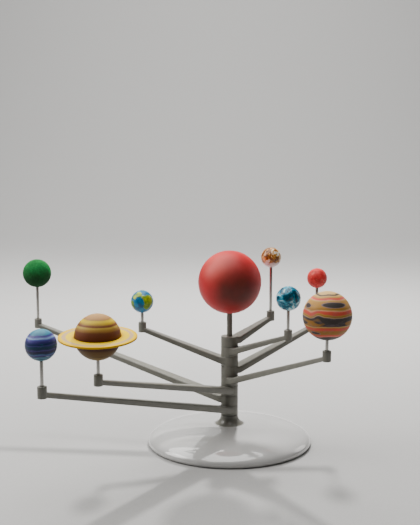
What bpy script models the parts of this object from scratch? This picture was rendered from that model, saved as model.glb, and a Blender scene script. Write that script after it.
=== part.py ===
"""A desk orrery: eight planet arms turn one above another on a spindle that carries the Sun.

Metres, +Z up. The origin is on the spindle's axis, on the surface that the base stands on.
Each arm is one moulding: a ring hub, a tapered beam that climbs outward, and a socket at its end.
A steel rod stands in every socket and carries a painted ball.
"""

import math

import bmesh
import bpy
from mathutils import Matrix, Vector

# Clearances
SEAT_GAP = 0.0003  # between pieces that touch
RUN_GAP = 0.0001  # between a turning hub and the spindle

# Base
BASE_RADIUS = 0.0498
RIM_HEIGHT = 0.0018  # height of the base's widest ring
RIM_TUCK = 0.0015  # how far the edge curls in below its widest ring
RIM_LAND = 0.0018  # width of the ring that the base stands on
DOME_RISE = 0.0100  # from the widest ring up to the dome's crown
DOME_FULLNESS = 2.6  # exponent of the dome's outline, 2 is an ellipse
FLARE_RADIUS = 0.0056  # concave sweep from the dome into the neck
NECK_LAND = 0.0003  # straight stretch at the neck's top
BASE_WALL = 0.0018
BOSS_RADIUS = 0.0046  # post under the crown that grips the spindle
BOSS_FOOT = 0.0050  # height of the post's lower end
PLATE_THICKNESS = 0.0015
PLATE_LEDGE = 0.0008  # step in the rim that the plate seats against
BASE_SIDES = 44

# Spindle, its screw and its washer
SPINDLE_RADIUS = 0.00165
SPINDLE_CHAMFER = 0.0002
PILOT_RADIUS = 0.0010
PILOT_DEPTH = 0.0060
SCREW_RADIUS = 0.0007
SCREW_TIP_RADIUS = 0.00035
SCREW_LENGTH = 0.0050
SCREW_HEAD_RADIUS = 0.0017
SCREW_HEAD_HEIGHT = 0.0011
SCREW_HEAD_CHAMFER = 0.0005
SCREW_SLOT_LENGTH = 0.0022
SCREW_SLOT_WIDTH = 0.0004
SCREW_SLOT_DEPTH = 0.0005
WASHER_RADIUS = 0.0032
WASHER_THICKNESS = 0.0005
SPINDLE_SIDES = 16

# Arms
HUB_RADIUS = 0.0052
HUB_HEIGHT = 0.00577
HUB_CHAMFER = 0.00035
HUB_SIDES = 24
ARM_ROOT_THICKNESS = 0.0040
ARM_TIP_THICKNESS = 0.0027
ARM_ROOT_FULLNESS = 0.94  # beam's width at the hub, as a share of the hub's
ARM_TIP_FULLNESS = 0.90  # and at the socket, as a share of the socket's
ARM_TOP_DROP = 0.00012  # the beam starts just under the hub's top face
ARM_EDGE = 0.00045
SOCKET_RADIUS = 0.0024
SOCKET_HEIGHT = 0.0062
SOCKET_DROP = 0.0006  # how far the socket reaches below the beam
SOCKET_EDGE = 0.0006  # rounding of a socket's mouth
SOCKET_FOOT_CHAMFER = 0.0003
SOCKET_FLOOR = 0.0012
SOCKET_SIDES = 16

# Rods
ROD_RADIUS = 0.0009
ROD_CHAMFER = 0.00015
ROD_SIDES = 10
ROD_BITE = 0.45  # share of a ball's radius that its rod goes in

# Sun and Saturn's ring
SUN_RADIUS = 0.0190
SUN_LIFT = 0.0331  # Sun's centre above the top hub
SUN_BITE = 0.5  # share of the Sun's radius that the spindle goes in
RING_REACH = 0.0203
RING_THICKNESS = 0.0010
RING_CHAMFER = 0.00025
RING_TILT = 4.6  # degrees that the ring dips towards -Y at rest
SUN_SIDES = 24
RING_SIDES = 40

# One row for each planet, from the top hub down: name, turn of its arm at rest in degrees from +X,
# reach from the axis, climb of the arm per unit of reach, height of the ball's centre above the
# socket's mouth, and the ball's radius.
PLANETS = (
    ("mercury", 34.3, 0.0312, 0.372, 0.0334, 0.0062),
    ("venus", -32.6, 0.0400, 0.336, 0.0184, 0.0072),
    ("earth", 176.6, 0.0531, 0.366, 0.0126, 0.0069),
    ("mars", 25.2, 0.0611, 0.391, 0.0252, 0.0062),
    ("jupiter", -49.7, 0.0800, 0.354, 0.0192, 0.0137),
    ("saturn", 232.6, 0.1138, 0.247, 0.0195, 0.0121),
    ("uranus", 157.3, 0.1357, 0.264, 0.0301, 0.0094),
    ("neptune", 231.5, 0.1500, 0.275, 0.0204, 0.0080),
)
BALL_SIDES = 18

COLOURS = {
    "base": ((0.80, 0.79, 0.78), 0.22, 0.0),
    "plate": ((0.22, 0.22, 0.21), 0.60, 0.0),
    "arm": ((0.36, 0.35, 0.31), 0.38, 0.0),
    "steel": ((0.62, 0.61, 0.58), 0.25, 1.0),
    "sun": ((0.62, 0.05, 0.05), 0.55, 0.0),
    "mercury": ((0.62, 0.38, 0.18), 0.45, 0.0),
    "venus": ((0.02, 0.22, 0.38), 0.35, 0.0),
    "earth": ((0.02, 0.26, 0.55), 0.45, 0.0),
    "mars": ((0.62, 0.06, 0.05), 0.45, 0.0),
    "jupiter": ((0.72, 0.45, 0.15), 0.45, 0.0),
    "saturn": ((0.75, 0.52, 0.10), 0.45, 0.0),
    "saturn_ring": ((0.85, 0.65, 0.12), 0.40, 0.0),
    "uranus": ((0.04, 0.28, 0.08), 0.75, 0.0),
    "neptune": ((0.06, 0.10, 0.36), 0.40, 0.0),
}


def dome_height(radius):
    """Height of the dome's outer face at a distance from the axis, without its neck."""
    share = min(radius / BASE_RADIUS, 1.0)
    return RIM_HEIGHT + DOME_RISE * math.sqrt(1.0 - share**DOME_FULLNESS)


FLARE_FOOT = dome_height(HUB_RADIUS + FLARE_RADIUS)
NECK_TOP = FLARE_FOOT + FLARE_RADIUS + NECK_LAND
HUB_PITCH = HUB_HEIGHT + SEAT_GAP
STACK_TOP = NECK_TOP + len(PLANETS) * HUB_PITCH
SUN_CENTRE = STACK_TOP + SUN_LIFT
SPINDLE_TOP = SUN_CENTRE - SUN_RADIUS * (1.0 - SUN_BITE)


def clear_scene():
    for thing in list(bpy.data.objects):
        bpy.data.objects.remove(thing, do_unlink=True)


def material(name):
    colour, roughness, metallic = COLOURS[name]
    made = bpy.data.materials.get(name) or bpy.data.materials.new(name)
    made.use_nodes = True
    shader = made.node_tree.nodes["Principled BSDF"]
    shader.inputs["Base Color"].default_value = (*colour, 1.0)
    shader.inputs["Roughness"].default_value = roughness
    shader.inputs["Metallic"].default_value = metallic
    made.diffuse_color = (*colour, 1.0)
    return made


def add_object(name, mesh, look, parent=None):
    mesh.materials.clear()
    mesh.materials.append(material(look))
    mesh.shade_smooth()
    mesh.set_sharp_from_angle(angle=math.radians(30))
    made = bpy.data.objects.new(name, mesh)
    bpy.context.collection.objects.link(made)
    made.parent = parent
    return made


def arc(centre, radii, start, end, steps):
    """Points of an elliptical arc in the (radius, height) plane, angles in degrees."""
    points = []
    for step in range(steps + 1):
        angle = math.radians(start + (end - start) * step / steps)
        points.append((centre[0] + radii[0] * math.cos(angle), centre[1] + radii[1] * math.sin(angle)))
    return points


def turned(name, outline, sides):
    """A mesh turned about Z from (radius, height) points; an outline off the axis closes on itself."""
    shape = bmesh.new()
    points = [shape.verts.new((radius, 0.0, height)) for radius, height in outline]
    edges = [shape.edges.new(pair) for pair in zip(points, points[1:])]
    if outline[0][0] > 0.0:
        edges.append(shape.edges.new((points[-1], points[0])))
    bmesh.ops.spin(
        shape,
        geom=points + edges,
        cent=(0.0, 0.0, 0.0),
        axis=(0.0, 0.0, 1.0),
        angle=math.tau,
        steps=sides,
        use_merge=True,
    )
    bmesh.ops.remove_doubles(shape, verts=shape.verts, dist=1e-6)
    bmesh.ops.recalc_face_normals(shape, faces=shape.faces)
    mesh = bpy.data.meshes.new(name)
    shape.to_mesh(mesh)
    shape.free()
    return mesh


def add_guide(name, mesh, place):
    """A hidden solid that a Boolean joins to a piece or cuts from it."""
    guide = bpy.data.objects.new(name, mesh)
    bpy.context.collection.objects.link(guide)
    guide.matrix_world = place
    guide.hide_render = True
    guide.display_type = "WIRE"
    return guide


def combine(piece, guide, operation):
    step = piece.modifiers.new(guide.name, "BOOLEAN")
    step.operation = operation
    step.solver = "EXACT"
    step.object = guide


def pin_mesh(name, radius, length, chamfer, sides):
    """A round pin that stands on the origin."""
    outline = [
        (0.0, 0.0),
        (radius - chamfer, 0.0),
        (radius, chamfer),
        (radius, length - chamfer),
        (radius - chamfer, length),
        (0.0, length),
    ]
    return turned(name, outline, sides)


def add_base_shell():
    neck = HUB_RADIUS
    bore = SPINDLE_RADIUS + SEAT_GAP
    foot = BASE_RADIUS - RIM_TUCK
    inner = foot - RIM_LAND
    ledge = PLATE_THICKNESS + SEAT_GAP
    flare_centre = (neck + FLARE_RADIUS, FLARE_FOOT + FLARE_RADIUS)
    outline = [(bore, NECK_TOP), (neck - HUB_CHAMFER, NECK_TOP), (neck, NECK_TOP - HUB_CHAMFER)]
    outline += arc(flare_centre, (FLARE_RADIUS, FLARE_RADIUS), 180, 270, 6)
    dome_start = neck + FLARE_RADIUS
    dome_steps = 11
    for step in range(1, dome_steps):
        turn = math.pi / 2 * step / dome_steps
        radius = dome_start + (BASE_RADIUS - dome_start) * math.sin(turn)
        outline.append((radius, dome_height(radius)))
    outline += arc((foot, RIM_HEIGHT), (RIM_TUCK, RIM_HEIGHT), 0, -90, 4)
    outline += [(inner, 0.0), (inner, ledge), (inner - PLATE_LEDGE, ledge)]
    ceiling_edge = inner - PLATE_LEDGE
    ceiling_steps = 7
    for step in range(1, ceiling_steps + 1):
        radius = ceiling_edge + (BOSS_RADIUS - ceiling_edge) * step / ceiling_steps
        outline.append((radius, dome_height(radius) - BASE_WALL))
    outline += [(BOSS_RADIUS, BOSS_FOOT), (bore, BOSS_FOOT)]
    add_object("base_shell", turned("base_shell", outline, BASE_SIDES), "base")


def add_base_plate():
    radius = BASE_RADIUS - RIM_TUCK - RIM_LAND - SEAT_GAP
    mesh = pin_mesh("base_plate", radius, PLATE_THICKNESS, SPINDLE_CHAMFER, BASE_SIDES)
    add_object("base_plate", mesh, "plate")


def add_spindle():
    length = SPINDLE_TOP - BOSS_FOOT
    mesh = turned(
        "spindle",
        [
            (0.0, PILOT_DEPTH),
            (PILOT_RADIUS, PILOT_DEPTH),
            (PILOT_RADIUS, 0.0),
            (SPINDLE_RADIUS, 0.0),
            (SPINDLE_RADIUS, length - SPINDLE_CHAMFER),
            (SPINDLE_RADIUS - SPINDLE_CHAMFER, length),
            (0.0, length),
        ],
        SPINDLE_SIDES,
    )
    spindle = add_object("spindle", mesh, "arm")
    spindle.location.z = BOSS_FOOT


def add_spindle_screw():
    washer_top = BOSS_FOOT - SEAT_GAP
    washer = turned(
        "spindle_washer",
        [
            (SCREW_RADIUS + SEAT_GAP, 0.0),
            (WASHER_RADIUS, 0.0),
            (WASHER_RADIUS, -WASHER_THICKNESS),
            (SCREW_RADIUS + SEAT_GAP, -WASHER_THICKNESS),
        ],
        SPINDLE_SIDES,
    )
    add_object("spindle_washer", washer, "steel").location.z = washer_top
    screw_mesh = turned(
        "spindle_screw",
        [
            (0.0, SCREW_LENGTH),
            (SCREW_TIP_RADIUS, SCREW_LENGTH),
            (SCREW_RADIUS, SCREW_LENGTH - SCREW_RADIUS),
            (SCREW_RADIUS, 0.0),
            (SCREW_HEAD_RADIUS, 0.0),
            (SCREW_HEAD_RADIUS, SCREW_HEAD_CHAMFER - SCREW_HEAD_HEIGHT),
            (SCREW_HEAD_RADIUS - SCREW_HEAD_CHAMFER, -SCREW_HEAD_HEIGHT),
            (0.0, -SCREW_HEAD_HEIGHT),
        ],
        SPINDLE_SIDES,
    )
    screw = add_object("spindle_screw", screw_mesh, "steel")
    screw.location.z = washer_top - WASHER_THICKNESS - SEAT_GAP
    for turn in (0, 90):
        slot = bmesh.new()
        size = Matrix.Diagonal((SCREW_SLOT_LENGTH, SCREW_SLOT_WIDTH, 2 * SCREW_SLOT_DEPTH, 1.0))
        bmesh.ops.create_cube(slot, size=1.0, matrix=size)
        mesh = bpy.data.meshes.new(f"slot_{turn}")
        slot.to_mesh(mesh)
        slot.free()
        place = Matrix.Translation((0.0, 0.0, screw.location.z - SCREW_HEAD_HEIGHT))
        guide = add_guide(f"slot_{turn}", mesh, place @ Matrix.Rotation(math.radians(turn), 4, "Z"))
        combine(screw, guide, "DIFFERENCE")


def beam_mesh(name, reach, climb):
    """The beam from the axis out to the socket's axis, along +X; its top starts level with the hub's."""
    top = HUB_HEIGHT - ARM_TOP_DROP
    root_half = HUB_RADIUS * ARM_ROOT_FULLNESS
    tip_half = SOCKET_RADIUS * ARM_TIP_FULLNESS
    sections = (
        (0.0, root_half, top, ARM_ROOT_THICKNESS),
        (HUB_RADIUS, root_half + (tip_half - root_half) * HUB_RADIUS / reach, top, ARM_ROOT_THICKNESS),
        (reach, tip_half, top + climb * (reach - HUB_RADIUS), ARM_TIP_THICKNESS),
    )
    shape = bmesh.new()
    rings = []
    for x, half, height, thickness in sections:
        corners = ((half, height), (-half, height), (-half, height - thickness), (half, height - thickness))
        rings.append([shape.verts.new((x, y, z)) for y, z in corners])
    for ring, following in zip(rings, rings[1:]):
        for side in range(4):
            after = (side + 1) % 4
            shape.faces.new((ring[side], ring[after], following[after], following[side]))
    shape.faces.new(rings[0])
    shape.faces.new(rings[-1])
    bmesh.ops.recalc_face_normals(shape, faces=shape.faces)
    along = [edge for edge in shape.edges if abs(edge.verts[0].co.x - edge.verts[1].co.x) > 1e-6]
    bmesh.ops.bevel(shape, geom=along, offset=ARM_EDGE, segments=2, profile=0.5, affect="EDGES")
    mesh = bpy.data.meshes.new(name)
    shape.to_mesh(mesh)
    shape.free()
    return mesh


def socket_base(reach, climb):
    """Height of a socket's underside above its hub's underside."""
    beam_top = HUB_HEIGHT - ARM_TOP_DROP + climb * (reach - HUB_RADIUS)
    return beam_top - ARM_TIP_THICKNESS - SOCKET_DROP


def add_arm(planet, pivot, reach, climb):
    chamfered_hub = pin_mesh(f"{planet}_arm", HUB_RADIUS, HUB_HEIGHT, HUB_CHAMFER, HUB_SIDES)
    arm = add_object(f"{planet}_arm", chamfered_hub, "arm", pivot)
    low = socket_base(reach, climb)
    socket = turned(
        f"{planet}_socket",
        [(0.0, 0.0), (SOCKET_RADIUS - SOCKET_FOOT_CHAMFER, 0.0), (SOCKET_RADIUS, SOCKET_FOOT_CHAMFER)]
        + arc(
            (SOCKET_RADIUS - SOCKET_EDGE, SOCKET_HEIGHT - SOCKET_EDGE),
            (SOCKET_EDGE, SOCKET_EDGE),
            0,
            90,
            3,
        )
        + [(0.0, SOCKET_HEIGHT)],
        SOCKET_SIDES,
    )
    bore = pin_mesh(f"{planet}_bore", SPINDLE_RADIUS + RUN_GAP, 3 * HUB_HEIGHT, SEAT_GAP, SPINDLE_SIDES)
    hole = pin_mesh(f"{planet}_hole", ROD_RADIUS + SEAT_GAP, SOCKET_HEIGHT, SEAT_GAP / 2, ROD_SIDES)
    place = pivot.matrix_world
    at_socket = place @ Matrix.Translation((reach, 0.0, low))
    combine(arm, add_guide(f"{planet}_beam_form", beam_mesh(f"{planet}_beam", reach, climb), place), "UNION")
    combine(arm, add_guide(f"{planet}_socket_form", socket, at_socket), "UNION")
    below = Matrix.Translation((0.0, 0.0, -HUB_HEIGHT))
    combine(arm, add_guide(f"{planet}_bore_form", bore, place @ below), "DIFFERENCE")
    floor = Matrix.Translation((0.0, 0.0, SOCKET_FLOOR))
    combine(arm, add_guide(f"{planet}_hole_form", hole, at_socket @ floor), "DIFFERENCE")


def ball_outline(radius, hole_radius, hole_top):
    """A ball about the origin with a blind hole from below."""
    lip = math.degrees(math.asin(hole_radius / radius))
    outline = arc((0.0, 0.0), (radius, radius), 90, lip - 90, BALL_SIDES // 2)
    outline[0] = (0.0, radius)
    return outline + [(hole_radius, hole_top), (0.0, hole_top)]


def add_rod_and_ball(planet, pivot, reach, climb, lift, radius):
    socket_low = socket_base(reach, climb)
    foot = socket_low + SOCKET_FLOOR + SEAT_GAP
    centre = socket_low + SOCKET_HEIGHT + lift
    rod_top = centre - radius * (1.0 - ROD_BITE)
    rod_mesh = pin_mesh(f"{planet}_rod", ROD_RADIUS, rod_top - foot, ROD_CHAMFER, ROD_SIDES)
    add_object(f"{planet}_rod", rod_mesh, "steel", pivot).location = (reach, 0.0, foot)
    outline = ball_outline(radius, ROD_RADIUS + SEAT_GAP, rod_top + SEAT_GAP - centre)
    ball = add_object(f"{planet}_ball", turned(f"{planet}_ball", outline, BALL_SIDES), planet, pivot)
    ball.location = (reach, 0.0, centre)
    return ball.location


def add_saturn_ring(pivot, turn, centre, ball_radius):
    inner = ball_radius + SEAT_GAP
    half = RING_THICKNESS / 2
    outline = [
        (inner, half),
        (RING_REACH - RING_CHAMFER, half),
        (RING_REACH, half - RING_CHAMFER),
        (RING_REACH, RING_CHAMFER - half),
        (RING_REACH - RING_CHAMFER, -half),
        (inner, -half),
    ]
    ring = add_object("saturn_ring", turned("saturn_ring", outline, RING_SIDES), "saturn_ring", pivot)
    ring.location = centre
    dip = Matrix.Rotation(math.radians(RING_TILT), 3, "X")
    ring.rotation_euler = (Matrix.Rotation(math.radians(-turn), 3, "Z") @ dip).to_euler()


def add_planet(level, planet, turn, reach, climb, lift, radius):
    pivot = bpy.data.objects.new(f"{planet}_pivot", None)
    bpy.context.collection.objects.link(pivot)
    pivot.location = (0.0, 0.0, STACK_TOP - (level + 1) * HUB_PITCH + SEAT_GAP)
    pivot.rotation_euler = (0.0, 0.0, math.radians(turn))
    bpy.context.view_layer.update()
    add_arm(planet, pivot, reach, climb)
    centre = add_rod_and_ball(planet, pivot, reach, climb, lift, radius)
    if planet == "saturn":
        add_saturn_ring(pivot, turn, centre, radius)


def add_sun():
    hole_top = SPINDLE_TOP + SEAT_GAP - SUN_CENTRE
    outline = ball_outline(SUN_RADIUS, SPINDLE_RADIUS + SEAT_GAP, hole_top)
    sun = add_object("sun_ball", turned("sun_ball", outline, SUN_SIDES), "sun")
    sun.location.z = SUN_CENTRE


def main():
    clear_scene()
    add_base_shell()
    add_base_plate()
    add_spindle()
    add_spindle_screw()
    for level, row in enumerate(PLANETS):
        add_planet(level, *row)
    add_sun()


main()
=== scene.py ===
import math

import bmesh
import bpy
from mathutils import Matrix, Vector, noise


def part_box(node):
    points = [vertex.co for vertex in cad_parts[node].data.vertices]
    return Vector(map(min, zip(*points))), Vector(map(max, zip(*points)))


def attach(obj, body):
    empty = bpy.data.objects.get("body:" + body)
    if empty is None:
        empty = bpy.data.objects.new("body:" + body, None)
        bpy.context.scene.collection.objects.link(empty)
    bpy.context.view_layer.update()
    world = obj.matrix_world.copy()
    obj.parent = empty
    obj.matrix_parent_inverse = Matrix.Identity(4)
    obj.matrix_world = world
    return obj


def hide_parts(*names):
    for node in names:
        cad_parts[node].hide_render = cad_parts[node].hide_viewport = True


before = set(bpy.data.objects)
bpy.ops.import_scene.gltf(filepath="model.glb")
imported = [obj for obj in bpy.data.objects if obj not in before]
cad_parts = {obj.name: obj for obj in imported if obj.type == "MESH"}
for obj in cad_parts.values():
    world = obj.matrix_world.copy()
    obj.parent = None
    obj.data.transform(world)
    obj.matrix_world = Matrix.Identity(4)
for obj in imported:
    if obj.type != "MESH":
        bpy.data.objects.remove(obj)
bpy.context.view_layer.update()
noise.seed_set(1)  # noise_vector follows the clock without it

sunLow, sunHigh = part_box("sun_ball")
sunMiddle = (sunLow + sunHigh) / 2

# camera, placed from the middle of the sun ball

view = {
    "left": 0.0106, "front": 0.5794, "above": 0.0897, "tilt": 82.1,
    "lens": 83.6, "sensor": 36, "shift": (-0.005, 0.010), "near": 0.01,
}


def placeCamera():
    data = bpy.data.cameras.new("camera")
    data.lens = view["lens"]
    data.sensor_fit = "HORIZONTAL"
    data.sensor_width = view["sensor"]
    data.shift_x, data.shift_y = view["shift"]
    data.clip_start = view["near"]
    camera = bpy.data.objects.new("camera", data)
    bpy.context.collection.objects.link(camera)
    camera.location = sunMiddle + Vector((-view["left"], -view["front"], view["above"]))
    camera.rotation_euler = (math.radians(view["tilt"]), 0, 0)
    bpy.context.scene.camera = camera


placeCamera()
print("camera placed")

# studio light

studio = {
    "wall": (0.80, 0.81, 0.83),
    "wallStrength": 0.035,
    # name, place, where it points (the sun ball when None), size, watts, colour, whether gloss shows it
    "lamps": (
        ("sideLamp", (-0.62, 0.02, 0.46), None, 0.42, 2.6, (1.0, 0.98, 0.95), True),
        ("topLamp", (-0.25, 0.10, 1.10), None, 1.60, 24.0, (1.0, 0.99, 0.97), True),
        ("backLamp", (0.05, 0.52, 0.52), None, 0.05, 9.0, (1.0, 0.98, 0.96), False),
        ("rimLamp", (0.60, 0.36, 0.28), None, 0.34, 0.5, (1.0, 0.97, 0.94), True),
        ("wallLamp", (0.0, 0.75, 1.30), (0.0, 1.75, 0.35), 0.90, 34.0, (1.0, 0.99, 0.98), False),
    ),
}


def buildStudio():
    world = bpy.data.worlds.new("studio")
    bpy.context.scene.world = world
    world.use_nodes = True
    sky = world.node_tree.nodes["Background"]
    sky.inputs["Color"].default_value = (*studio["wall"], 1)
    sky.inputs["Strength"].default_value = studio["wallStrength"]
    for name, place, target, size, watts, colour, shine in studio["lamps"]:
        data = bpy.data.lights.new(name, "AREA")
        data.shape = "DISK"
        data.size = size
        data.energy = watts
        data.color = colour
        lamp = bpy.data.objects.new(name, data)
        bpy.context.collection.objects.link(lamp)
        lamp.location = place
        lamp.visible_glossy = shine
        aim = (Vector(target) if target else sunMiddle) - lamp.location
        lamp.rotation_euler = aim.to_track_quat("-Z", "Y").to_euler()


buildStudio()

# small helpers for materials


def addNode(tree, kind, wires=None, **settings):
    made = tree.nodes.new("ShaderNode" + kind)
    for key, value in settings.items():
        setattr(made, key, value)
    for key, value in (wires or {}).items():
        if isinstance(value, bpy.types.NodeSocket):
            tree.links.new(value, made.inputs[key])
        else:
            made.inputs[key].default_value = value
    return made


def addRamp(tree, factor, stops):
    made = addNode(tree, "ValToRGB", {"Fac": factor})
    steps = made.color_ramp.elements
    steps.remove(steps[1])
    for number, (place, colour) in enumerate(stops):
        step = steps[0] if number == 0 else steps.new(place)
        step.position = place
        step.color = (*colour, 1)
    return made.outputs["Color"]


def addMask(tree, factor, start, end):
    # black up to the start, white from the end on
    return addRamp(tree, factor, ((start, (0, 0, 0)), (end, (1, 1, 1))))


def mixColours(tree, factor, first, second, blend="MIX"):
    wires = {0: factor}
    for place, value in ((6, first), (7, second)):  # the Mix node's two colour inputs
        wires[place] = value if isinstance(value, bpy.types.NodeSocket) else (*value, 1)
    return addNode(tree, "Mix", wires, data_type="RGBA", blend_type=blend).outputs[2]


def addMaths(tree, operation, first, second, third=0.0, clamp=False):
    wires = {0: first, 1: second, 2: third}
    return addNode(tree, "Math", wires, operation=operation, use_clamp=clamp).outputs[0]


def respan(tree, source, low, high):
    # spreads a value of 0 to 1 over low to high
    wires = {"Value": source, "To Min": low, "To Max": high}
    return addNode(tree, "MapRange", wires).outputs["Result"]


def readMark(tree, name):
    return addNode(tree, "Attribute", attribute_name=name).outputs["Fac"]


def addNoise(tree, where, scale, detail=2.0, rough=0.5, swirl=0.0):
    wires = {"Vector": where, "Scale": scale, "Detail": detail, "Roughness": rough, "Distortion": swirl}
    return addNode(tree, "TexNoise", wires).outputs["Fac"]


def placeOn(tree, stretch=(1, 1, 1)):
    where = addNode(tree, "TexCoord").outputs["Object"]
    return addNode(tree, "Mapping", {"Vector": where, "Scale": stretch}).outputs["Vector"]


def fromAxis(tree, where):
    # distance from the piece's own upright axis
    flat = addNode(tree, "VectorMath", {0: where, 1: (1, 1, 0)}, operation="MULTIPLY").outputs["Vector"]
    return addNode(tree, "VectorMath", {0: flat}, operation="LENGTH").outputs["Value"]


def newFinish(name, roughness, colour=(0.8, 0.8, 0.8), more=None):
    made = bpy.data.materials.new(name)
    made.use_nodes = True
    shader = made.node_tree.nodes["Principled BSDF"]
    shader.inputs["Base Color"].default_value = (*colour, 1)
    shader.inputs["Roughness"].default_value = roughness
    for key, value in (more or {}).items():
        shader.inputs[key].default_value = value
    return made, made.node_tree, shader


def linkColour(tree, shader, colour):
    tree.links.new(colour, shader.inputs["Base Color"])


def linkRoughness(tree, shader, source, low, high):
    tree.links.new(respan(tree, source, low, high), shader.inputs["Roughness"])


def addBump(tree, shader, height, strength, depth):
    wires = {"Height": height, "Strength": strength, "Distance": depth}
    bump = addNode(tree, "Bump", wires)
    tree.links.new(bump.outputs["Normal"], shader.inputs["Normal"])


# small helpers for meshes

sharpFrom = math.radians(38)  # edges steeper than this stay sharp
mergeWithin = 1e-7


def addPiece(name, mesh, finish, body, slot, *stoodFor):
    mesh.materials.clear()
    mesh.materials.append(finish)
    piece = bpy.data.objects.new(name, mesh)
    bpy.context.collection.objects.link(piece)
    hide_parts(*stoodFor)
    return piece


def toMesh(shape, name):
    mesh = bpy.data.meshes.new(name)
    shape.to_mesh(mesh)
    shape.free()
    mesh.shade_smooth()
    return mesh


def turnOutline(name, outline, sides):
    # outline is (radius, height) points; one that starts off the axis closes on itself
    shape = bmesh.new()
    points = [shape.verts.new((radius, 0, height)) for radius, height in outline]
    edges = [shape.edges.new(pair) for pair in zip(points, points[1:])]
    if outline[0][0] > 0:
        edges.append(shape.edges.new((points[-1], points[0])))
    bmesh.ops.spin(
        shape, geom=points + edges, cent=(0, 0, 0), axis=(0, 0, 1),
        angle=math.tau, steps=sides, use_merge=True,
    )
    bmesh.ops.remove_doubles(shape, verts=shape.verts, dist=mergeWithin)
    bmesh.ops.recalc_face_normals(shape, faces=shape.faces)
    mesh = toMesh(shape, name)
    mesh.set_sharp_from_angle(angle=sharpFrom)
    return mesh


def roundCorner(middle, radius, start, end, steps):
    points = []
    for step in range(steps + 1):
        turn = math.radians(start + (end - start) * step / steps)
        points.append((middle[0] + radius * math.cos(turn), middle[1] + radius * math.sin(turn)))
    return points


# floor: one sheet of pale paper that curves up behind

paper = {
    "colour": (0.34, 0.338, 0.333), "dark": (0.33, 0.328, 0.323), "light": (0.355, 0.353, 0.348),
    "roughness": 0.75, "half": 2.4, "front": -1.6, "level": -0.0002,
    "bend": 1.1, "bendRadius": 0.7, "bendSteps": 16, "top": 2.4,
}


def layFloor():
    finish, tree, shader = newFinish("floorPaper", paper["roughness"], paper["colour"])
    grain = addNoise(tree, placeOn(tree), scale=900, detail=3)
    linkColour(tree, shader, addRamp(tree, grain, ((0.3, paper["dark"]), (0.7, paper["light"]))))
    addBump(tree, shader, grain, strength=0.08, depth=0.0003)
    bend, radius, level = paper["bend"], paper["bendRadius"], paper["level"]
    edge = [(paper["front"], level), (bend, level)]
    edge += roundCorner((bend, level + radius), radius, -90, 0, paper["bendSteps"])[1:]
    edge.append((bend + radius, paper["top"]))
    shape = bmesh.new()
    rows = [[shape.verts.new((x, y, z)) for y, z in edge] for x in (-paper["half"], paper["half"])]
    for spot in range(len(edge) - 1):
        shape.faces.new((rows[0][spot], rows[1][spot], rows[1][spot + 1], rows[0][spot + 1]))
    mesh = toMesh(shape, "floor")
    mesh.materials.append(finish)
    floor = bpy.data.objects.new("floor", mesh)
    bpy.context.collection.objects.link(floor)


layFloor()
print("studio and floor built")

# finishes of the moulded and metal pieces

greyShade = {"dark": (0.155, 0.151, 0.128), "light": (0.190, 0.186, 0.158), "roughness": (0.36, 0.48)}


def greyPlastic():
    finish, tree, shader = newFinish("greyPlastic", 0.36, greyShade["dark"])
    cloud = addNoise(tree, placeOn(tree), scale=160, detail=4, rough=0.6)
    fine = addNoise(tree, placeOn(tree), scale=2600, detail=2)
    linkColour(tree, shader, addRamp(tree, cloud, ((0.3, greyShade["dark"]), (0.7, greyShade["light"]))))
    linkRoughness(tree, shader, cloud, *greyShade["roughness"])
    addBump(tree, shader, fine, strength=0.12, depth=0.00005)
    return finish


steelShade = {
    "colour": (0.30, 0.29, 0.27), "dark": (0.34, 0.33, 0.31), "light": (0.52, 0.51, 0.48),
    "roughness": (0.20, 0.36),
}


def drawnSteel():
    # fine scratches run along the rod
    finish, tree, shader = newFinish("drawnSteel", 0.28, steelShade["colour"], {"Metallic": 1.0})
    lines = addNoise(tree, placeOn(tree, (1, 1, 0.02)), scale=5200, detail=3, rough=0.6)
    linkColour(tree, shader, addRamp(tree, lines, ((0.3, steelShade["dark"]), (0.7, steelShade["light"]))))
    linkRoughness(tree, shader, lines, *steelShade["roughness"])
    addBump(tree, shader, lines, strength=0.15, depth=0.00004)
    return finish


greyFinish = greyPlastic()
steelFinish = drawnSteel()

# base: one moulding, grey over the neck and its flare, white over the dome

base = {
    "fullness": 2.6, "rim": 0.0018, "tuck": 0.0015, "land": 0.0018, "flare": 0.0056, "neck": 0.0052,
    "edge": 0.0003, "gap": 0.0003, "sides": 160, "domeSteps": 60, "rimSteps": 8, "greyReach": 0.0089,
    "greyEdge": 0.0005, "dark": (0.50, 0.497, 0.487), "light": (0.55, 0.547, 0.537),
    "roughness": (0.15, 0.26), "greyRoughness": 0.22, "coat": (1.0, 0.15),
}


def whitePlastic():
    coat = {"Coat IOR": 1.75, "Coat Roughness": 0.03}
    finish, tree, shader = newFinish("whitePlastic", 0.20, base["dark"], coat)
    where = placeOn(tree)
    wires = {
        "Value": fromAxis(tree, where),
        "From Min": base["greyReach"] + base["greyEdge"], "From Max": base["greyReach"] - base["greyEdge"],
    }
    grey = addNode(tree, "MapRange", wires, interpolation_type="SMOOTHSTEP").outputs["Result"]
    tree.links.new(respan(tree, grey, *base["coat"]), shader.inputs["Coat Weight"])
    cloud = addNoise(tree, where, scale=60, detail=3)
    white = addRamp(tree, cloud, ((0.3, base["dark"]), (0.7, base["light"])))
    linkColour(tree, shader, mixColours(tree, grey, white, greyShade["dark"]))
    polish = respan(tree, addNoise(tree, where, scale=220, detail=4, rough=0.6), *base["roughness"])
    matt = addMaths(tree, "MULTIPLY_ADD", grey, base["greyRoughness"], polish)
    tree.links.new(matt, shader.inputs["Roughness"])
    addBump(tree, shader, addNoise(tree, where, scale=1500, detail=2), strength=0.05, depth=0.00004)
    return finish


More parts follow.
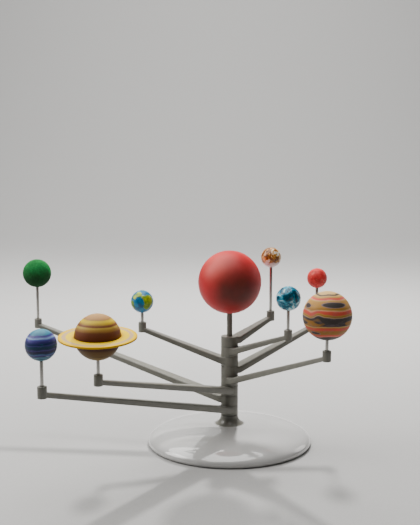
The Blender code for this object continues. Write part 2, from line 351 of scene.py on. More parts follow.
def buildBase():
    low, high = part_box("base_shell")
    outer = (high.x - low.x) / 2
    start = base["neck"] + base["flare"]
    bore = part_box("spindle")[1].x + base["gap"]

    def domeHeight(radius):
        share = min(radius / outer, 1)
        return base["rim"] + rise * math.sqrt(1 - share ** base["fullness"])

    # the neck's top fixes how far the dome rises
    rise = 1.0
    rise = (high.z - base["edge"] - base["flare"] - base["rim"]) / (domeHeight(start) - base["rim"])
    foot = domeHeight(start)
    outline = [(bore, high.z), (base["neck"] - base["edge"], high.z)]
    outline += roundCorner((base["neck"] - base["edge"], high.z - base["edge"]), base["edge"], 90, 0, 3)[1:]
    outline += roundCorner((start, foot + base["flare"]), base["flare"], 180, 270, 20)
    for step in range(1, base["domeSteps"]):
        radius = start + (outer - start) * math.sin(math.pi / 2 * step / base["domeSteps"])
        outline.append((radius, domeHeight(radius)))
    edge = outer - base["tuck"]
    for step in range(base["rimSteps"] + 1):
        turn = math.radians(-90 * step / base["rimSteps"])
        outline.append((edge + base["tuck"] * math.cos(turn), base["rim"] + base["rim"] * math.sin(turn)))
    inner = edge - base["land"]
    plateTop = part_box("base_plate")[1].z + base["gap"]
    outline += [(inner, 0), (inner, plateTop), (bore, plateTop)]
    mesh = turnOutline("baseDome", outline, base["sides"])
    dome = addPiece("baseDome", mesh, whitePlastic(), "stand", "base", "base_shell")
    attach(dome, "stand")


plateShade = {
    "colour": (0.2, 0.2, 0.19), "dark": (0.16, 0.16, 0.15), "light": (0.23, 0.23, 0.22),
    "roughness": (0.5, 0.7),
}


def platePlastic():
    finish, tree, shader = newFinish("platePlastic", 0.6, plateShade["colour"])
    grain = addNoise(tree, placeOn(tree), scale=1800, detail=3, rough=0.6)
    linkColour(tree, shader, addRamp(tree, grain, ((0.3, plateShade["dark"]), (0.7, plateShade["light"]))))
    linkRoughness(tree, shader, grain, *plateShade["roughness"])
    addBump(tree, shader, grain, strength=0.3, depth=0.0001)
    return finish


buildBase()
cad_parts["base_plate"].material_slots[0].material = platePlastic()
for name in ("spindle_washer", "spindle_screw"):
    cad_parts[name].material_slots[0].material = steelFinish
print("base built")

# spindle, arms and rods

armShape = {
    "hub": 0.0052, "hubHeight": 0.00577, "hubEdge": 0.0003, "hubFoot": 0.0001, "hubRise": 0.0002,
    "bore": 0.00175, "rootThick": 0.0040, "tipThick": 0.0027, "rootFull": 0.94, "tipFull": 0.90,
    "topDrop": 0.00012, "beamShoulder": 0.0013, "beamFoot": 0.0003, "beamSteps": 6,
    "socket": 0.0024, "socketHeight": 0.0062, "socketDrop": 0.0006, "socketEdge": 0.0006,
    "socketFoot": 0.0003, "socketFloor": 0.0012, "rod": 0.0009, "rodEdge": 0.0002, "rodGap": 0.0003,
    "postEdge": 0.0002, "cutEdge": 0.0001,
}
armSides = {"hub": 64, "bore": 48, "post": 48, "socket": 40, "hole": 32, "rod": 28}
planets = ("mercury", "venus", "earth", "mars", "jupiter", "saturn", "uranus", "neptune")


def pinMesh(name, radius, length, edge, sides, foot=None):
    # edge rounds the top rim, and foot the bottom one when it differs
    low = foot or edge
    outline = [(0, 0)] + roundCorner((radius - low, low), low, -90, 0, 3)
    outline += roundCorner((radius - edge, length - edge), edge, 0, 90, 3) + [(0, length)]
    return turnOutline(name, outline, sides)


def beamMesh(reach, climb):
    size = armShape
    top = size["hubHeight"] - size["topDrop"]
    rootHalf = size["hub"] * size["rootFull"]
    tipHalf = size["socket"] * size["tipFull"]
    shape = bmesh.new()
    rings = []
    for x, thick in ((0, size["rootThick"]), (size["hub"], size["rootThick"]), (reach, size["tipThick"])):
        half = rootHalf + (tipHalf - rootHalf) * x / reach
        height = top + climb * max(x - size["hub"], 0)
        above, below = size["beamShoulder"], size["beamFoot"]
        corners = (
            (half - above, height - above, above, 0),
            (above - half, height - above, above, 90),
            (below - half, height - thick + below, below, 180),
            (half - below, height - thick + below, below, 270),
        )
        ring = []
        for across, up, edge, start in corners:
            for y, z in roundCorner((across, up), edge, start, start + 90, size["beamSteps"]):
                ring.append(shape.verts.new((x, y, z)))
        rings.append(ring)
    for ring, following in zip(rings, rings[1:]):
        for spot in range(len(ring)):
            after = (spot + 1) % len(ring)
            shape.faces.new((ring[spot], ring[after], following[after], following[spot]))
    shape.faces.new(rings[0])
    shape.faces.new(rings[-1])
    bmesh.ops.recalc_face_normals(shape, faces=shape.faces)
    return toMesh(shape, "beam")


def combine(target, guides):
    # joins or cuts the guides in turn, then keeps only the result
    for number, (mesh, place, operation) in enumerate(guides):
        guide = bpy.data.objects.new("guide", mesh)
        bpy.context.collection.objects.link(guide)
        guide.matrix_world = place
        step = target.modifiers.new(f"step{number}", "BOOLEAN")
        step.operation = operation
        step.solver = "EXACT"
        step.object = guide
    bpy.context.view_layer.update()
    ready = bpy.data.meshes.new_from_object(target.evaluated_get(bpy.context.evaluated_depsgraph_get()))
    for step in list(target.modifiers):
        guide = step.object
        target.modifiers.remove(step)
        bpy.data.objects.remove(guide)
    target.data = ready
    ready.shade_smooth()
    ready.set_sharp_from_angle(angle=sharpFrom)


def socketMesh():
    radius, height = armShape["socket"], armShape["socketHeight"]
    foot, edge = armShape["socketFoot"], armShape["socketEdge"]
    outline = [(0, 0)] + roundCorner((radius - foot, foot), foot, -90, 0, 2)
    outline += roundCorner((radius - edge, height - edge), edge, 0, 90, 6) + [(0, height)]
    return turnOutline("socket", outline, armSides["socket"])


def buildArm(planet):
    size = armShape
    low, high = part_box(f"{planet}_arm")
    rodLow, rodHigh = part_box(f"{planet}_rod")
    rodMiddle = (rodLow + rodHigh) / 2
    reach = rodMiddle.xy.length
    turn = math.atan2(rodMiddle.y, rodMiddle.x)
    # the beam climbs from the hub's top to just above the socket's foot
    socketLow = high.z - low.z - size["socketHeight"]
    beamTip = socketLow + size["socketDrop"] + size["tipThick"]
    climb = (beamTip - size["hubHeight"] + size["topDrop"]) / (reach - size["hub"])
    hubTop = size["hubHeight"] + size["hubRise"]
    hub = pinMesh(f"{planet}Arm", size["hub"], hubTop, size["hubEdge"], armSides["hub"], size["hubFoot"])
    arm = addPiece(f"{planet}Arm", hub, greyFinish, f"{planet}_orbit", "arm", f"{planet}_arm")
    arm.location.z = low.z
    arm.rotation_euler.z = turn
    bpy.context.view_layer.update()
    place = arm.matrix_world
    atSocket = place @ Matrix.Translation((reach, 0, socketLow))
    holeRadius = size["rod"] + size["rodGap"]
    hole = pinMesh("hole", holeRadius, size["socketHeight"], size["cutEdge"], armSides["hole"])
    bore = pinMesh("bore", size["bore"], 3 * size["hubHeight"], size["cutEdge"], armSides["bore"])
    combine(arm, (
        (beamMesh(reach, climb), place, "UNION"),
        (socketMesh(), atSocket, "UNION"),
        (bore, place @ Matrix.Translation((0, 0, -size["hubHeight"])), "DIFFERENCE"),
        (hole, atSocket @ Matrix.Translation((0, 0, size["socketFloor"])), "DIFFERENCE"),
    ))
    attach(arm, f"{planet}_orbit")
    length = rodHigh.z - rodLow.z
    rodMesh = pinMesh(f"{planet}Rod", size["rod"], length, size["rodEdge"], armSides["rod"])
    rod = addPiece(f"{planet}Rod", rodMesh, steelFinish, f"{planet}_orbit", "steel", f"{planet}_rod")
    rod.location = (rodMiddle.x, rodMiddle.y, rodLow.z)
    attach(rod, f"{planet}_orbit")


def buildSpindle():
    low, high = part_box("spindle")
    mesh = pinMesh("spindlePost", high.x, high.z - low.z, armShape["postEdge"], armSides["post"])
    post = addPiece("spindlePost", mesh, greyFinish, "stand", "arm", "spindle")
    post.location.z = low.z
    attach(post, "stand")


for planet in planets:
    buildArm(planet)
buildSpindle()
print("arms, rods and spindle built")

# painted balls: "size" is the radius that a ball's paint patterns are scaled to, and the depths
# of its lumps and its "inset" are shares of the ball's own radius

ballFit = {"snug": 0.98, "full": 1.0, "rodHole": 0.0012}
outermost = ("jupiter", "uranus", "neptune")  # snug, so that the whole keeps its size
towardFront = Vector((0.02, -0.985, 0.17)).normalized()
upAcross = Vector((0, 0.17, 0.985)).normalized()


def frontSpot(right, up):
    # a direction on a ball, given as seen from the front: -1 to 1 across and up
    depth = math.sqrt(max(0, 1 - right * right - up * up))
    return (Vector((right, 0, 0)) + upAcross * up + towardFront * depth).normalized()


def wobble(way, size, seed, octaves=3):
    return noise.fractal(way * size + Vector((seed, 3 * seed, -seed)), 0.8, 2.1, octaves)


def easeIn(value, low, high):
    share = max(0, min(1, (value - low) / (high - low)))
    return share * share * (3 - 2 * share)


def buildBall(planet, finish, relief, level=6):
    body = "stand" if planet == "sun" else f"{planet}_orbit"
    low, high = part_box(f"{planet}_ball")
    # the ball is cut off where the rod's hole meets it
    height = high.z - low.z
    radius = (height * height + ballFit["rodHole"] ** 2) / (2 * height)
    middle = Vector(((low.x + high.x) / 2, (low.y + high.y) / 2, high.z - radius))
    shape = bmesh.new()
    bmesh.ops.create_icosphere(shape, subdivisions=level, radius=1.0)
    mesh = toMesh(shape, f"{planet}Ball")
    marks = {}
    fit = ballFit["snug"] if planet in outermost else ballFit["full"]
    for vertex in mesh.vertices:
        way = vertex.co.normalized()
        lift, values = relief(way)
        vertex.co = way * radius * (fit + lift)
        for key, value in values.items():
            marks.setdefault(key, []).append(value)
    for key, values in marks.items():
        mesh.attributes.new(key, "FLOAT", "POINT").data.foreach_set("value", values)
    ball = addPiece(f"{planet}Ball", mesh, finish, body, planet, f"{planet}_ball")
    ball.location = middle
    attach(ball, body)


def ballCoords(tree, radius, stretch=(1, 1, 1)):
    return placeOn(tree, tuple(share / radius for share in stretch))


def brushShift(tree, brush, wander):
    # how far brush strokes carry a colour past its edge
    return respan(tree, brush, -wander, wander)


def brushedBand(tree, shift):
    return addMaths(tree, "ADD", readMark(tree, "band"), shift)


# Sun: smooth foam under red paint, with painted shade over one broad patch and a painted highlight, paler
# pink, over another

sun = {
    "size": 0.019, "colour": (0.60, 0.035, 0.04), "roughness": (0.42, 0.56), "lump": 0.0012,
    "reds": ((0.30, (0.46, 0.014, 0.018)), (0.55, (0.54, 0.020, 0.024)), (0.75, (0.60, 0.035, 0.036))),
    # painted shade: a broad darker patch on the lower right of the front
    "paintedShade": (0.115, 0.030, 0.022), "paintedShadeSpot": frontSpot(0.26, -0.26), "paintedShadeReach": (0.25, 1.25),
    # painted highlight: a paler pink patch on the upper left of the front
    "wearAndHighlight": (0.72, 0.11, 0.085), "paintedHighlightSpot": frontSpot(-0.42, 0.50), "paintedHighlightReach": (0.05, 0.85),
    "paintedHighlightShare": 0.7,
}


def sunRelief(way):
    # marks for the painted shade patch and the painted highlight patch
    away = (way + 0.12 * noise.noise_vector(way * 1.8)).angle(sun["paintedShadeSpot"])
    paintedShade = 1 - easeIn(away, *sun["paintedShadeReach"])
    wearAndHighlight = 1 - easeIn(way.angle(sun["paintedHighlightSpot"]), *sun["paintedHighlightReach"])
    return sun["lump"] * wobble(way, 2.0, seed=4), {"paintedShade": paintedShade, "wearAndHighlight": wearAndHighlight}


def sunPaint():
    finish, tree, shader = newFinish("sunPaint", 0.5, sun["colour"], {"Specular IOR Level": 0.3})
    where = ballCoords(tree, sun["size"])
    cloud = addNoise(tree, where, scale=1.6, detail=4, rough=0.55)
    fade = addRamp(tree, cloud, ((0.2, (1, 1, 1)), (0.8, (0.72, 0.72, 0.72))))
    # painted shade over its patch, broken up by the cloud
    paintedShade = addMaths(tree, "MULTIPLY", readMark(tree, "paintedShade"), fade)
    # painted highlight over its patch
    wearAndHighlight = addMaths(tree, "MULTIPLY", readMark(tree, "wearAndHighlight"), sun["paintedHighlightShare"])
    colour = mixColours(tree, wearAndHighlight, addRamp(tree, cloud, sun["reds"]), sun["wearAndHighlight"])
    linkColour(tree, shader, mixColours(tree, paintedShade, colour, sun["paintedShade"]))
    linkRoughness(tree, shader, cloud, *sun["roughness"])
    grain = addNoise(tree, where, scale=55, detail=3, rough=0.6)
    addBump(tree, shader, grain, strength=0.10, depth=0.0002)
    return finish


buildBall("sun", sunPaint(), sunRelief)

# Mercury: white clay under golden brown glaze, bare below

mercury = {
    "size": 0.0062, "stretch": (1, 1, 0.62), "roughness": (0.22, 0.45),
    "lump": 0.012, "vein": 0.006, "inset": 0.004, "bareBelow": (0.40, 0.52),
    "glaze": (
        (0.40, (0.10, 0.030, 0.008)), (0.47, (0.36, 0.13, 0.018)), (0.54, (0.58, 0.28, 0.04)),
        (0.575, (0.66, 0.42, 0.15)), (0.60, (0.80, 0.74, 0.66)), (0.72, (0.86, 0.83, 0.78)),
    ),
    "clay": ((0.35, (0.62, 0.40, 0.40)), (0.60, (0.82, 0.72, 0.70))),
}


def mercuryRelief(way):
    lump = mercury["lump"] * wobble(way, 1.7, seed=11)
    vein = mercury["vein"] * wobble(way, 4.5, seed=17)
    bare = easeIn(-(way.z + 0.10 * wobble(way, 2.5, seed=23)), *mercury["bareBelow"])
    return lump + vein * (1 - bare) - mercury["inset"], {"bare": bare}


def mercuryPaint():
    finish, tree, shader = newFinish("mercuryPaint", 0.32)
    where = ballCoords(tree, mercury["size"], mercury["stretch"])
    marble = addNoise(tree, where, scale=1.9, detail=4, rough=0.62, swirl=1.5)
    glaze = addRamp(tree, marble, mercury["glaze"])
    clay = addRamp(tree, marble, mercury["clay"])
    linkColour(tree, shader, mixColours(tree, readMark(tree, "bare"), glaze, clay))
    linkRoughness(tree, shader, marble, *mercury["roughness"])
    addBump(tree, shader, addNoise(tree, where, scale=14, detail=3), strength=0.25, depth=0.0002)
    return finish


buildBall("mercury", mercuryPaint(), mercuryRelief, level=5)

# Venus: teal glaze with white swirls

venus = {
    "size": 0.0072, "stretch": (1, 1, 2.0), "roughness": (0.18, 0.36),
    "flatten": 2.4, "bend": 1.3, "lump": 0.008, "swell": 0.010, "inset": 0.008, "cloudShare": 0.76,
    "glaze": (
        (0.34, (0.002, 0.045, 0.075)), (0.46, (0.002, 0.10, 0.17)), (0.56, (0.004, 0.20, 0.32)),
        (0.61, (0.01, 0.27, 0.39)), (0.645, (0.12, 0.40, 0.50)), (0.70, (0.46, 0.66, 0.72)),
    ),
}


def venusRelief(way):
    swirl = Vector((way.x, way.y, way.z * venus["flatten"]))
    bend = noise.noise_vector(way * 1.6 + Vector((5, 1, 2)))
    cloud = noise.fractal(swirl * 0.95 + bend * venus["bend"], 1.0, 2.0, 4)
    lift = venus["lump"] * wobble(way, 1.6, seed=31) + venus["swell"] * easeIn(cloud, 0.1, 0.5)
    return lift - venus["inset"], {"cloud": cloud * 0.5 + 0.5}


def venusPaint():
    finish, tree, shader = newFinish("venusPaint", 0.25)
    where = ballCoords(tree, venus["size"], venus["stretch"])
    streak = addNoise(tree, where, scale=2.6, detail=3, rough=0.5, swirl=1.0)
    cloudPart = addMaths(tree, "MULTIPLY", readMark(tree, "cloud"), venus["cloudShare"])
    streakPart = addMaths(tree, "MULTIPLY", streak, 1 - venus["cloudShare"])
    linkColour(tree, shader, addRamp(tree, addMaths(tree, "ADD", cloudPart, streakPart), venus["glaze"]))
    linkRoughness(tree, shader, streak, *venus["roughness"])
    addBump(tree, shader, streak, strength=0.2, depth=0.0002)
    return finish


buildBall("venus", venusPaint(), venusRelief)

# Earth: blue ball with land pressed on in yellow-green

earth = {
    "size": 0.0067, "roughness": (0.25, 0.45), "bend": 0.16, "fineBend": 0.06, "lump": 0.004,
    "landRise": 0.024, "landLump": 0.008, "inset": 0.020, "shore": 0.03, "paintShore": 0.012,
    "land": (
        # spot, how far it spreads
        (frontSpot(0.62, 0.12), 0.52), (frontSpot(0.50, -0.42), 0.34), (frontSpot(-0.30, 0.62), 0.30),
        (frontSpot(-0.62, 0.42), 0.26), (frontSpot(-0.86, -0.22), 0.30), (frontSpot(-0.72, -0.52), 0.20),
        (frontSpot(0.12, 0.42), 0.20), (Vector((-0.3, 0.9, 0.3)).normalized(), 0.55),
        (Vector((0.5, 0.8, -0.3)).normalized(), 0.42), (Vector((-0.85, 0.45, -0.3)).normalized(), 0.30),
        (Vector((0, 0.2, 1)).normalized(), 0.22), (Vector((0, 0.3, -1)).normalized(), 0.30),
    ),
    "sea": ((0.35, (0.0, 0.09, 0.20)), (0.5, (0.0, 0.15, 0.32)), (0.65, (0.0, 0.25, 0.45))),
    "grass": ((0.35, (0.07, 0.17, 0.004)), (0.5, (0.20, 0.34, 0.006)), (0.65, (0.46, 0.56, 0.012))),
}


def earthRelief(way):
    bend = noise.noise_vector(way * 2.6) * earth["bend"] + noise.noise_vector(way * 6.0) * earth["fineBend"]
    bent = (way + bend).normalized()
    nearest = max(spread - bent.angle(spot) for spot, spread in earth["land"])
    land = easeIn(nearest, -earth["shore"], earth["shore"])
    rise = earth["landRise"] + earth["landLump"] * wobble(way, 7.0, seed=8)
    lift = earth["lump"] * wobble(way, 1.8, seed=3) + land * rise - earth["inset"]
    return lift, {"land": easeIn(nearest, -earth["paintShore"], earth["paintShore"])}


def earthPaint():
    finish, tree, shader = newFinish("earthPaint", 0.3)
    where = ballCoords(tree, earth["size"])
    cloud = addNoise(tree, where, scale=2.2, detail=4, rough=0.6)
    sea = addRamp(tree, cloud, earth["sea"])
    grass = addRamp(tree, cloud, earth["grass"])
    linkColour(tree, shader, mixColours(tree, readMark(tree, "land"), sea, grass))
    linkRoughness(tree, shader, cloud, *earth["roughness"])
    grain = addNoise(tree, where, scale=16, detail=4, rough=0.6)
    addBump(tree, shader, grain, strength=0.22, depth=0.0002)
    return finish


buildBall("earth", earthPaint(), earthRelief)

# Mars: red with pale scrapes and dents

mars = {
    "size": 0.0061, "roughness": (0.40, 0.58), "bend": 0.10, "lump": 0.010, "scrape": (0.62, 0.30, 0.16),
    "dents": (
        # spot, width, depth
        (frontSpot(-0.55, 0.50), 0.20, 0.030), (frontSpot(-0.80, 0.10), 0.22, 0.028),
        (frontSpot(0.42, -0.35), 0.26, 0.024), (frontSpot(0.72, -0.38), 0.16, 0.026),
        (frontSpot(-0.10, -0.20), 0.12, 0.016), (frontSpot(-0.12, -0.66), 0.15, 0.020),
        (Vector((0.3, 0.9, 0.2)).normalized(), 0.30, 0.030),
        (Vector((-0.6, 0.7, -0.3)).normalized(), 0.24, 0.026),
        (Vector((0.8, 0.3, 0.5)).normalized(), 0.20, 0.026),
        (Vector((-0.2, 0.4, 0.9)).normalized(), 0.18, 0.022),
    ),
    "reds": ((0.35, (0.50, 0.022, 0.020)), (0.55, (0.68, 0.038, 0.034)), (0.70, (0.76, 0.060, 0.052))),
}


def marsRelief(way):
    bent = (way + noise.noise_vector(way * 5.0) * mars["bend"]).normalized()
    sunk = 0.0
    rim = 0.0
    for spot, width, depth in mars["dents"]:
        share = bent.angle(spot) / width
        if share < 1.6:
            sunk += depth * (1 - easeIn(share, 0.35, 1.0))
            rim = max(rim, 1 - abs(share - 0.75) / 0.35)
    return mars["lump"] * wobble(way, 1.8, seed=41) - sunk, {"rim": rim}


def marsPaint():
    finish, tree, shader = newFinish("marsPaint", 0.45, more={"Specular IOR Level": 0.3})
    where = ballCoords(tree, mars["size"])
    cloud = addNoise(tree, where, scale=2.6, detail=4, rough=0.6)
    red = addRamp(tree, cloud, mars["reds"])
    patches = addNoise(tree, where, scale=5.5, detail=3, rough=0.7)
    wearAndHighlight = addMaths(tree, "MULTIPLY", readMark(tree, "rim"), patches, clamp=True)
    linkColour(tree, shader, mixColours(tree, addMask(tree, wearAndHighlight, 0.34, 0.50), red, mars["scrape"]))
    linkRoughness(tree, shader, cloud, *mars["roughness"])
    grain = addNoise(tree, where, scale=12, detail=4, rough=0.6)
    addBump(tree, shader, grain, strength=0.2, depth=0.0002)
    return finish


buildBall("mars", marsPaint(), marsRelief)

# Jupiter: ochre with coral stripes and dark ovals

cream, ochre, umber = (0.56, 0.36, 0.13), (0.46, 0.24, 0.05), (0.32, 0.15, 0.028)
coral, rose, soot, mauve = (0.60, 0.085, 0.05), (0.72, 0.24, 0.17), (0.055, 0.045, 0.042), (0.22, 0.16, 0.17)
jupiter = {
    "size": 0.0137, "stretch": (1, 1, 3.2), "roughness": (0.44, 0.60), "wander": 0.012,
    "lump": 0.004, "inset": 0.004, "blot": frontSpot(-0.72, -0.36), "topFrom": (0.955, 0.966),
    "ovals": (
        # spot, half length, half height
        (frontSpot(0.17, 0.42), 0.68, 0.105), (frontSpot(-0.82, 0.43), 0.26, 0.085),
        (frontSpot(-0.55, -0.68), 0.30, 0.05), (Vector((0.5, 0.75, 0.40)).normalized(), 0.45, 0.09),
        (Vector((-0.6, 0.6, -0.55)).normalized(), 0.34, 0.07),
    ),
    # from the foot up
    "stripes": (
        (0.05, soot), (0.115, soot), (0.130, rose), (0.145, coral), (0.168, coral),
        (0.178, umber), (0.250, umber), (0.275, coral), (0.318, coral), (0.330, ochre), (0.350, cream),
        (0.360, soot), (0.515, soot), (0.528, mauve), (0.537, cream), (0.548, umber), (0.578, ochre),
        (0.588, coral), (0.640, coral), (0.655, rose), (0.668, cream), (0.690, umber), (0.745, ochre),
        (0.835, ochre), (0.860, cream), (0.868, rose), (0.878, coral), (0.898, coral), (0.908, ochre),
        (0.912, ochre), (0.936, cream), (0.945, soot),
    ),
}


def jupiterRelief(way):
    turn = math.atan2(way.x, -way.y)  # 0 faces the front, positive to the right
    wave = 0.030 * math.sin(2 * turn + 0.8) + 0.026 * math.sin(5 * turn + 1.9)
    wave += 0.03 * wobble(way, 1.6, seed=52)
    hump = 0.11 * math.exp(-((turn + 0.52) / 0.22) ** 2) - 0.05 * math.exp(-((turn - 0.1) / 0.4) ** 2)
    middle = math.exp(-((way.z - 0.20) / 0.20) ** 2)
    band = way.z - wave * (0.4 + 0.9 * middle) - hump * middle
    oval = 0.0
    for spot, long, high in jupiter["ovals"]:
        across = math.atan2(spot.x, -spot.y) - turn
        across = (across + math.pi) % math.tau - math.pi
        drop = way.z - spot.z - 0.012 * math.sin(3 * across)
        oval = max(oval, 1 - (across / long) ** 2 - (drop / high) ** 2)
    blot = 0.5 + 0.5 * wobble(Vector((way.x, way.y, way.z * 3)), 1.1, seed=61, octaves=2)
    blot += 0.30 * math.exp(-(way.angle(jupiter["blot"]) / 0.30) ** 2)
    lift = jupiter["lump"] * wobble(way, 2.0, seed=51) - jupiter["inset"]
    return lift, {"band": band * 0.5 + 0.5, "oval": oval, "blot": blot}


def jupiterPaint():
    finish, tree, shader = newFinish("jupiterPaint", 0.5, more={"Specular IOR Level": 0.22})
    where = ballCoords(tree, jupiter["size"], jupiter["stretch"])
    brush = addNoise(tree, where, scale=2.4, detail=5, rough=0.62, swirl=0.4)
    shift = brushShift(tree, brush, jupiter["wander"])
    band = brushedBand(tree, shift)
    colour = addRamp(tree, band, jupiter["stripes"])
    colour = mixColours(tree, addMask(tree, band, *jupiter["topFrom"]), colour, cream)
    # lighter blots break up the dark band
    darkBand = addRamp(tree, band, (
        (0.350, (0, 0, 0)), (0.370, (1, 1, 1)), (0.46, (1, 1, 1)), (0.50, (0, 0, 0)),
    ))
    blot = addMask(tree, readMark(tree, "blot"), 0.56, 0.64)
    colour = mixColours(tree, mixColours(tree, 1.0, darkBand, blot, "MULTIPLY"), colour, umber)
    # ovals: a mauve rim round a dark middle
    inside = addMaths(tree, "ADD", readMark(tree, "oval"), addMaths(tree, "MULTIPLY", shift, 8.0))
    colour = mixColours(tree, addMask(tree, inside, 0.0, 0.10), colour, mauve)
    colour = mixColours(tree, addMask(tree, inside, 0.16, 0.34), colour, soot)
    linkColour(tree, shader, colour)
    linkRoughness(tree, shader, brush, *jupiter["roughness"])
    addBump(tree, shader, brush, strength=0.18, depth=0.0003)
    return finish


buildBall("jupiter", jupiterPaint(), jupiterRelief)

# Saturn: tan cap over yellow, brown and maroon bands

saturn = {
    "size": 0.0118, "stretch": (1, 1, 4.0), "roughness": (0.42, 0.60), "wander": 0.014,
    # from the foot up
    "stripes": (
        (0.02, (0.20, 0.12, 0.025)), (0.12, (0.16, 0.095, 0.020)), (0.135, (0.07, 0.034, 0.011)),
        (0.15, (0.13, 0.072, 0.015)), (0.24, (0.12, 0.06, 0.016)), (0.28, (0.07, 0.028, 0.012)),
        (0.33, (0.05, 0.016, 0.010)), (0.47, (0.050, 0.014, 0.010)), (0.55, (0.11, 0.03, 0.018)),
        (0.66, (0.15, 0.05, 0.022)), (0.69, (0.27, 0.13, 0.03)), (0.73, (0.36, 0.21, 0.04)),
        (0.75, (0.50, 0.34, 0.05)), (0.765, (0.46, 0.30, 0.05)), (0.78, (0.17, 0.055, 0.02)),
        (0.805, (0.20, 0.075, 0.022)), (0.82, (0.32, 0.17, 0.03)), (0.845, (0.52, 0.33, 0.01)),
        (0.87, (0.64, 0.45, 0.005)), (0.895, (0.58, 0.39, 0.01)), (0.91, (0.30, 0.16, 0.05)),
        (0.93, (0.40, 0.21, 0.07)), (0.99, (0.44, 0.25, 0.09)),
    ),
}


def bandRelief(lump, seed, amount):
    # stripes that wave by the amount, on a ball with low lumps
    def relief(way):
        turn = math.atan2(way.y, way.x)
        wave = math.sin(2 * turn + seed) + 0.6 * math.sin(5 * turn + 2 * seed) + wobble(way, 1.7, seed)
        lift = lump * wobble(way, 2.0, seed + 2) - lump
        return lift, {"band": (way.z + amount * wave) * 0.5 + 0.5}
    return relief


def saturnPaint():
    finish, tree, shader = newFinish("saturnPaint", 0.5, more={"Specular IOR Level": 0.22})
    where = ballCoords(tree, saturn["size"], saturn["stretch"])
    brush = addNoise(tree, where, scale=2.0, detail=5, rough=0.62, swirl=0.3)
    band = brushedBand(tree, brushShift(tree, brush, saturn["wander"]))
    linkColour(tree, shader, addRamp(tree, band, saturn["stripes"]))
    linkRoughness(tree, shader, brush, *saturn["roughness"])
    addBump(tree, shader, brush, strength=0.12, depth=0.0003)
    return finish


buildBall("saturn", saturnPaint(), bandRelief(lump=0.003, seed=3.0, amount=0.006))

# Saturn's ring: a flat disc painted in three bands

yellow, beige, gold = (0.74, 0.52, 0.002), (0.48, 0.33, 0.18), (0.64, 0.36, 0.002)
ringShape = {
    "half": 0.0005, "edge": 0.00022, "gap": 0.0001, "sides": 128, "roughness": (0.55, 0.70), "wander": 0.010,
    # by share of the ring's reach
    "stripes": (
        (0.60, gold), (0.70, yellow), (0.79, yellow), (0.815, beige), (0.895, beige), (0.915, yellow),
        (0.99, gold),
    ),
}


def ringFinish(outer):
    finish, tree, shader = newFinish("ringPaint", 0.6, more={"Specular IOR Level": 0.12})
    where = placeOn(tree)
    brush = addNoise(tree, where, scale=420, detail=4, rough=0.6)
    share = addMaths(tree, "DIVIDE", fromAxis(tree, where), outer)
    share = addMaths(tree, "ADD", share, brushShift(tree, brush, ringShape["wander"]))
    linkColour(tree, shader, addRamp(tree, share, ringShape["stripes"]))
    linkRoughness(tree, shader, brush, *ringShape["roughness"])
    addBump(tree, shader, brush, strength=0.08, depth=0.0002)
    return finish


def buildRing():
    low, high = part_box("saturn_ring")
    ballLow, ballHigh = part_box("saturn_ball")
    half, edge = ringShape["half"], ringShape["edge"]
    outer = (high.x - low.x) / 2
    inner = (ballHigh.z - ballLow.z) / 2 + ringShape["gap"]
    outline = [(inner, half)] + roundCorner((outer - edge, half - edge), edge, 90, 0, 4)
    outline += roundCorner((outer - edge, edge - half), edge, 0, -90, 4) + [(inner, -half)]
    mesh = turnOutline("saturnRing", outline, ringShape["sides"])
    ring = addPiece("saturnRing", mesh, ringFinish(outer), "saturn_orbit", "saturn_ring", "saturn_ring")
    ring.location = (low + high) / 2
    ring.rotation_euler.x = math.asin(((high.z - low.z) / 2 - half) / outer)
    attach(ring, "saturn_orbit")


buildRing()

# Uranus: green paint on grained foam, darkened towards the bottom by painted shade

uranus = {
    # shade is the colour of the painted shade towards the bottom
    "size": 0.0094, "lump": 0.003, "grain": 0.0075, "inset": 0.006, "shade": (0.014, 0.070, 0.022),
    "greens": ((0.3, (0.012, 0.18, 0.040)), (0.7, (0.024, 0.27, 0.066))),
    "pores": ((0.2, (0.34, 0.34, 0.34)), (0.7, (1, 1, 1))),
}


def uranusRelief(way):
    grain = noise.noise(way * 26) + 0.6 * noise.noise(way * 55)
    # painted shade: the green gives way to the shade colour towards the bottom
    paintedShadeFade = easeIn(way.z + 0.25 * wobble(way, 1.5, seed=73), -0.55, 0.55)
    lift = uranus["grain"] * grain + uranus["lump"] * wobble(way, 2, seed=71) - uranus["inset"]
    return lift, {"grain": grain * 0.35 + 0.5, "paintedShadeFade": paintedShadeFade}


def uranusPaint():
    finish, tree, shader = newFinish("uranusPaint", 0.85, more={"Specular IOR Level": 0.15})
    where = ballCoords(tree, uranus["size"])
    green = addRamp(tree, addNoise(tree, where, scale=1.5, detail=3, rough=0.6), uranus["greens"])
    pores = addRamp(tree, readMark(tree, "grain"), uranus["pores"])
    # painted shade darkens the green towards the bottom
    colour = mixColours(tree, readMark(tree, "paintedShadeFade"), uranus["shade"], green)
    linkColour(tree, shader, mixColours(tree, 1.0, colour, pores, "MULTIPLY"))
    fine = addNoise(tree, where, scale=26, detail=3, rough=0.7)
    addBump(tree, shader, fine, strength=0.7, depth=0.0004)
    return finish


buildBall("uranus", uranusPaint(), uranusRelief)

# Neptune: pale blue cap over violet and navy streaks

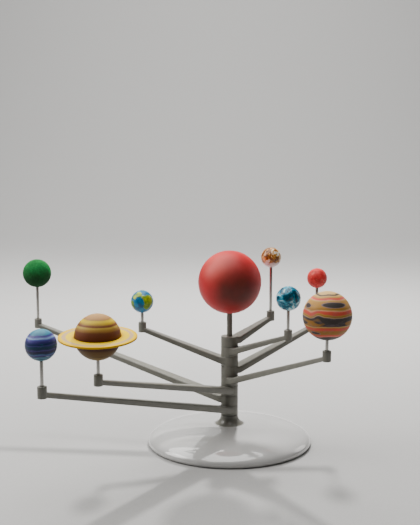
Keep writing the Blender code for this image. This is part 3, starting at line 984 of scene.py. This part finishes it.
violet, navy = (0.060, 0.048, 0.210), (0.012, 0.030, 0.080)
teal, sky = (0.006, 0.110, 0.160), (0.26, 0.38, 0.56)
neptune = {
    "size": 0.0079, "stretch": (1, 1, 4.5), "streakStretch": (1, 1, 9), "roughness": (0.34, 0.50),
    "wander": 0.045, "green": (0.0, 0.20, 0.24), "greenShare": 0.6, "white": (0.50, 0.58, 0.78),
    # from the foot up
    "stripes": (
        (0.03, (0.03, 0.13, 0.20)), (0.10, teal), (0.13, navy), (0.17, (0.10, 0.26, 0.36)), (0.20, navy),
        (0.25, violet), (0.275, (0.06, 0.14, 0.30)), (0.30, navy), (0.38, (0.022, 0.014, 0.060)),
        (0.42, violet), (0.44, navy), (0.53, (0.01, 0.05, 0.09)), (0.57, violet), (0.59, navy),
        (0.66, (0.03, 0.03, 0.14)), (0.71, violet), (0.75, (0.07, 0.09, 0.36)), (0.775, sky),
        (0.80, (0.16, 0.22, 0.50)), (0.825, violet), (0.855, (0.05, 0.05, 0.22)), (0.875, (0.03, 0.16, 0.27)),
        (0.93, (0.04, 0.20, 0.30)), (0.98, (0.06, 0.24, 0.33)),
    ),
}


def neptunePaint():
    finish, tree, shader = newFinish("neptunePaint", 0.45, more={"Specular IOR Level": 0.3})
    where = ballCoords(tree, neptune["size"], neptune["stretch"])
    brush = addNoise(tree, where, scale=1.5, detail=5, rough=0.62, swirl=0.6)
    band = brushedBand(tree, brushShift(tree, brush, neptune["wander"]))
    colour = addRamp(tree, band, neptune["stripes"])
    green = addMaths(tree, "MULTIPLY", addMask(tree, brush, 0.60, 0.70), neptune["greenShare"])
    colour = mixColours(tree, green, colour, neptune["green"])
    wispPlace = ballCoords(tree, neptune["size"], neptune["streakStretch"])
    wisps = addNoise(tree, wispPlace, scale=1.7, detail=4, rough=0.6, swirl=0.8)
    linkColour(tree, shader, mixColours(tree, addMask(tree, wisps, 0.66, 0.74), colour, neptune["white"]))
    linkRoughness(tree, shader, brush, *neptune["roughness"])
    addBump(tree, shader, brush, strength=0.15, depth=0.0003)
    return finish


buildBall("neptune", neptunePaint(), bandRelief(lump=0.004, seed=6.0, amount=0.022))
print("balls and ring painted")
